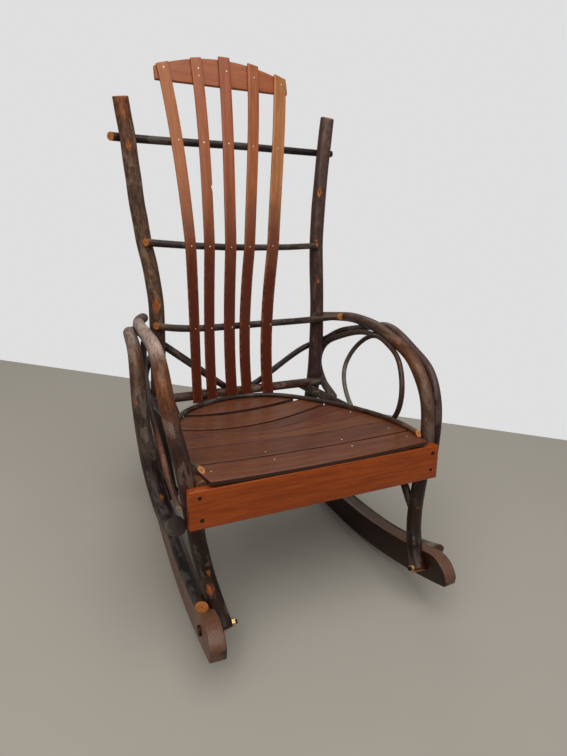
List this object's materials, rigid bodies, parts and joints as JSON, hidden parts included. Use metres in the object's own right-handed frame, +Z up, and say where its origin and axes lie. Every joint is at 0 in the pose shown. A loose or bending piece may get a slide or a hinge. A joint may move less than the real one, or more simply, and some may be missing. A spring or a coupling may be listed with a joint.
{
  "type": "rocking chair",
  "caption": "Rustic bent-sapling rocking chair with a slatted trough seat, fanned slat back, looped bentwood arms and sawn rockers.",
  "frame": {"origin": "middle of the whole chair's bounding box, at floor level", "axes": "+Z up; the sitter faces -Y; +X is on the right as seen from in front"},
  "size_m": [0.6724, 0.8754, 1.139],
  "materials": {
    "rocker_wood": "dark varnished walnut",
    "apron_wood": "glossy orange-red varnish",
    "seat_wood": "worn brown varnish",
    "back_wood": "glossy orange-brown varnish",
    "crest_wood": "glossy red-brown varnish",
    "post_bark": "varnished bark",
    "bar_bark": "dark bark",
    "arm_bark": "varnished bark, worn through on top",
    "twig_bark": "varnished bark",
    "rail_bark": "varnished bark",
    "bolt_metal": "zinc plated, dulled"
  },
  "bodies": {
    "root": {"apron": "apron_wood", "seat_slat_1": "seat_wood", "seat_slat_2": "seat_wood", "seat_slat_3": "seat_wood", "seat_slat_4": "seat_wood", "seat_slat_5": "seat_wood", "seat_slat_6": "seat_wood", "seat_slat_7": "seat_wood", "back_slat_1": "back_wood", "back_slat_2": "back_wood", "back_slat_3": "back_wood", "back_slat_4": "back_wood", "back_slat_5": "back_wood", "crest_rail": "crest_wood", "seat_rail_rear": "rail_bark", "seat_runner_left": "rail_bark", "side_rail_left": "rail_bark", "seat_runner_right": "rail_bark", "side_rail_right": "rail_bark", "seat_bow": "twig_bark", "crossbar_top": "bar_bark", "crossbar_middle": "bar_bark", "crossbar_arm": "bar_bark", "back_post_left": "post_bark", "rocker_left": "rocker_wood", "front_leg_left": "arm_bark", "arm_bow_left": "arm_bark", "hoop_large_left": "twig_bark", "hoop_small_left": "twig_bark", "side_rod_left": "rail_bark", "leg_brace_left": "twig_bark", "bolt_front_left": "bolt_metal", "nut_front_left": "bolt_metal", "bolt_rear_left": "bolt_metal", "nut_rear_left": "bolt_metal", "back_post_right": "post_bark", "rocker_right": "rocker_wood", "front_leg_right": "arm_bark", "arm_bow_right": "arm_bark", "hoop_large_right": "twig_bark", "hoop_small_right": "twig_bark", "side_rod_right": "rail_bark", "leg_brace_right": "twig_bark", "bolt_front_right": "bolt_metal", "nut_front_right": "bolt_metal", "bolt_rear_right": "bolt_metal", "nut_rear_right": "bolt_metal"}
  },
  "joints": []
}
